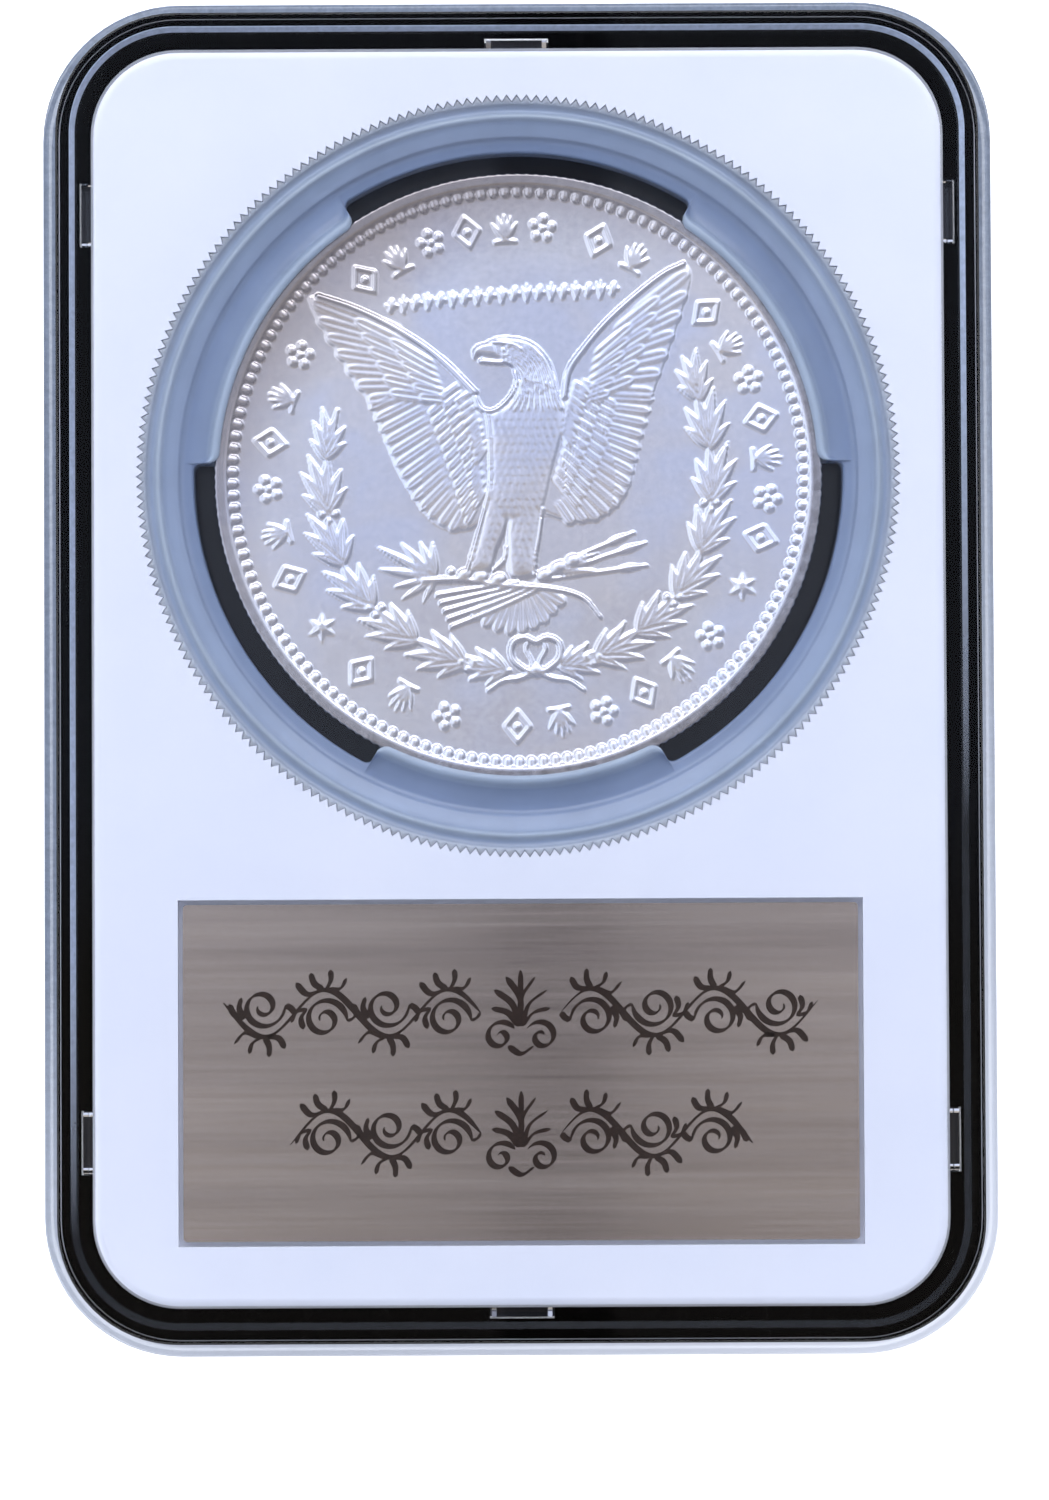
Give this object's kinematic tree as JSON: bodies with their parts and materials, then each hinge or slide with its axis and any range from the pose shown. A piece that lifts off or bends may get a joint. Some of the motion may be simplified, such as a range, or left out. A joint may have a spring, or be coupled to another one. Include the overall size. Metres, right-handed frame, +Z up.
{
  "type": "graded coin slab",
  "caption": "Clear two-shell slab that holds a large silver coin in a pronged ring, with a white insert and an engraved steel plaque on each side.",
  "frame": {"origin": "centre of the footprint on the obverse face, which the slab lies on", "axes": "+X to the right across the width, +Y along the length towards the coin end, +Z up through the thickness, towards the reverse side"},
  "size_m": [0.0596, 0.0848, 0.008],
  "materials": {
    "clear_shell": "clear, polished polystyrene",
    "white_insert": "smooth white, satin",
    "frosted_ring": "milky translucent, satin",
    "coin_silver": "struck silver, frosted relief on a satin field",
    "plaque_steel": "brushed along its length, engraved",
    "engraved_mark": "dark oxide left in the engraved strokes",
    "adhesive_sheet": "matt foam-backed adhesive"
  },
  "bodies": {
    "front_shell": {"front_shell": "clear_shell"},
    "insert": {"insert": "white_insert", "reverse_plaque": "plaque_steel", "reverse_plaque_adhesive": "adhesive_sheet", "front_plaque": "plaque_steel", "front_plaque_adhesive": "adhesive_sheet"},
    "coin_ring": {"coin_ring": "frosted_ring"},
    "coin": {"coin": "coin_silver"},
    "reverse_shell": {"reverse_shell": "clear_shell"}
  },
  "joints": [
    {"name": "insert_lift", "type": "slide", "parent": "front_shell", "child": "insert", "axis": [0, 0, 1], "range_m": [0, 0.012]},
    {"name": "ring_lift", "type": "slide", "parent": "insert", "child": "coin_ring", "axis": [0, 0, 1], "range_m": [0, 0.01]},
    {"name": "coin_turn", "type": "hinge", "parent": "coin_ring", "child": "coin", "pos_m": [0, 0.0125, 0.00365], "axis": [0, 0, 1], "continuous": true},
    {"name": "reverse_shell_lift", "type": "slide", "parent": "coin_ring", "child": "reverse_shell", "axis": [0, 0, 1], "range_m": [0, 0.014]}
  ]
}
